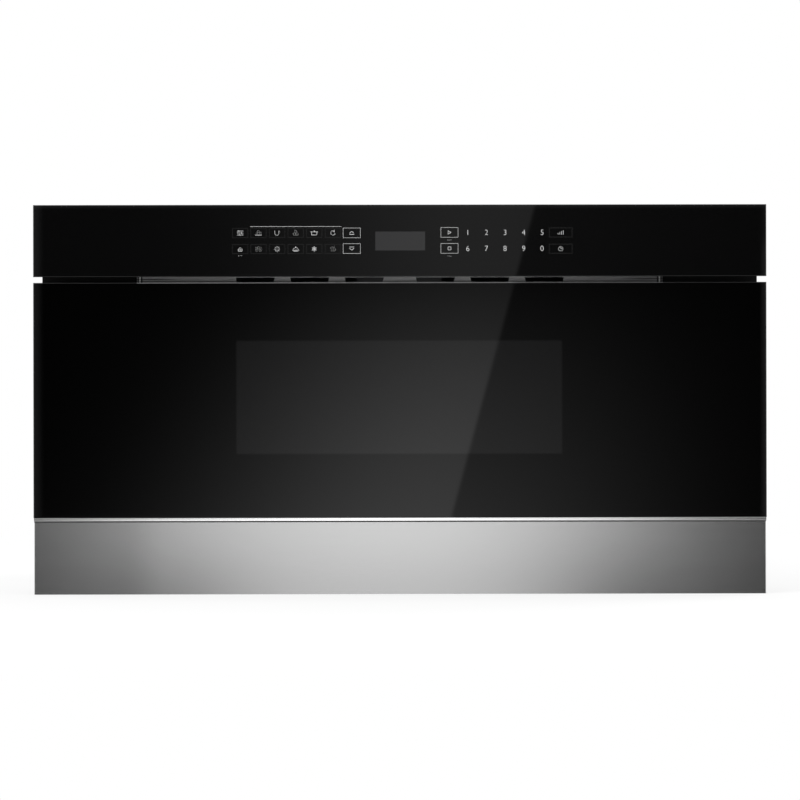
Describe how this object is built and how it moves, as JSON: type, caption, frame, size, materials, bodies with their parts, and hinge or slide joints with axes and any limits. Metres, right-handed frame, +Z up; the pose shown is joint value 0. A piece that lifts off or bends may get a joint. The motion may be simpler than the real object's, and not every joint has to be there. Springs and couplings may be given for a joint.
{
  "type": "built-in microwave drawer",
  "caption": "Built-in drawer microwave: black glass control panel over a motor-driven drawer front of black glass and brushed steel, with a tub inside a sheet-metal case.",
  "frame": {"origin": "on the centreline where the plane of the cabinet face (the rear of the mounting flange) meets the platform plane under the case", "axes": "+X to the right seen from the front, +Y back into the cabinet, +Z up"},
  "size_m": [0.759, 0.6194, 0.403],
  "materials": {
    "black_glass": "polished, back-painted",
    "brushed_steel": "fine horizontal brushing",
    "bright_trim": "bright anodised",
    "black_paint": "satin black powder coat",
    "galvanised": "galvanised sheet",
    "zinc_sheet": "zinc-plated sheet",
    "cavity_enamel": "grey oven enamel",
    "tub_steel": "bright stainless",
    "screen_steel": "black perforated sheet",
    "ceramic_glass": "opaque white ceramic glass",
    "mica": "mica sheet",
    "black_plastic": "fine texture",
    "grey_plastic": "moulded",
    "white_plastic": "moulded acetal",
    "board_green": "circuit board lacquer",
    "copper_iron": "varnished core and winding",
    "aluminium": "mill finish",
    "slide_steel": "bright zinc",
    "plated_screw": "zinc-plated",
    "motor_steel": "drawn can"
  },
  "bodies": {
    "chassis": {"control_glass": "black_glass", "control_housing": "black_plastic", "display_module": "grey_plastic", "touch_sensor_board": "board_green", "control_board": "board_green", "front_plate": "zinc_sheet", "flange_wing_right": "black_paint", "flange_wing_left": "black_paint", "vent_grille": "zinc_sheet", "cavity_floor": "cavity_enamel", "cavity_right_wall": "cavity_enamel", "cavity_left_wall": "cavity_enamel", "cavity_rear_wall": "cavity_enamel", "cavity_roof": "cavity_enamel", "stirrer_cover": "mica", "waveguide": "galvanised", "stirrer_motor": "motor_steel", "magnetron": "aluminium", "fan_shroud": "black_plastic", "fan_motor": "motor_steel", "air_duct": "black_plastic", "hv_transformer": "copper_iron", "hv_capacitor": "aluminium", "hv_diode": "black_plastic", "noise_filter_board": "board_green", "cord_gland": "black_plastic", "oven_lamp": "white_plastic", "steam_sensor": "white_plastic", "base_plate": "galvanised", "right_side_panel": "galvanised", "left_side_panel": "galvanised", "rear_panel": "galvanised", "top_cover": "galvanised", "case_screws": "plated_screw", "slide_outer_right": "slide_steel", "slide_outer_left": "slide_steel", "drive_motor": "motor_steel", "gear_bracket": "galvanised", "interlock_switches": "black_plastic"},
    "drawer": {"door_glass": "black_glass", "door_trim_strip": "bright_trim", "door_steel_band": "brushed_steel", "door_frame": "black_plastic", "choke_frame": "tub_steel", "choke_cover": "black_plastic", "door_screen": "screen_steel", "latch_hooks": "white_plastic", "drawer_tub": "tub_steel", "tub_floor_plate": "ceramic_glass", "slide_inner_right": "slide_steel", "slide_inner_left": "slide_steel", "drawer_rack": "white_plastic"},
    "slide_mid_right": {"slide_mid_right": "slide_steel"},
    "slide_mid_left": {"slide_mid_left": "slide_steel"},
    "ball_cages_outer": {"ball_cages_outer": "slide_steel"},
    "ball_cages_inner": {"ball_cages_inner": "slide_steel"},
    "drive_gear": {"drive_gear": "white_plastic"},
    "motor_pinion": {"motor_pinion": "plated_screw"},
    "fan_impeller": {"fan_impeller": "grey_plastic"},
    "stirrer_antenna": {"stirrer_antenna": "aluminium"}
  },
  "joints": [
    {"name": "drawer_slide", "type": "slide", "parent": "chassis", "child": "drawer", "axis": [0, -1, 0], "range_m": [0, 0.38]},
    {"name": "right_slide_mid", "type": "slide", "parent": "chassis", "child": "slide_mid_right", "axis": [0, -1, 0], "range_m": [0, 0.19]},
    {"name": "left_slide_mid", "type": "slide", "parent": "chassis", "child": "slide_mid_left", "axis": [0, -1, 0], "range_m": [0, 0.19]},
    {"name": "outer_ball_cages", "type": "slide", "parent": "chassis", "child": "ball_cages_outer", "axis": [0, -1, 0], "range_m": [0, 0.095]},
    {"name": "inner_ball_cages", "type": "slide", "parent": "chassis", "child": "ball_cages_inner", "axis": [0, -1, 0], "range_m": [0, 0.285]},
    {"name": "drive_gear_spin", "type": "hinge", "parent": "chassis", "child": "drive_gear", "pos_m": [0.24343, 0.06, 0.04], "axis": [0, 0, 1], "range_deg": [-1816.4, 0]},
    {"name": "motor_pinion_spin", "type": "hinge", "parent": "chassis", "child": "motor_pinion", "pos_m": [0.20742, 0.06, 0.03], "axis": [0, 0, 1], "range_deg": [0, 6352.3]},
    {"name": "fan_spin", "type": "hinge", "parent": "chassis", "child": "fan_impeller", "pos_m": [-0.13, 0.5045, 0.241], "axis": [1, 0, 0], "continuous": true},
    {"name": "stirrer_spin", "type": "hinge", "parent": "chassis", "child": "stirrer_antenna", "pos_m": [0, 0.218, 0.3], "axis": [0, 0, 1], "continuous": true}
  ],
  "couplings": [
    {"joint": "right_slide_mid", "follows": "drawer_slide", "ratio": 0.5},
    {"joint": "left_slide_mid", "follows": "drawer_slide", "ratio": 0.5},
    {"joint": "outer_ball_cages", "follows": "drawer_slide", "ratio": 0.25},
    {"joint": "inner_ball_cages", "follows": "drawer_slide", "ratio": 0.75},
    {"joint": "drive_gear_spin", "follows": "drawer_slide", "rad_per_m": -83.333},
    {"joint": "motor_pinion_spin", "follows": "drawer_slide", "rad_per_m": 291.67}
  ]
}
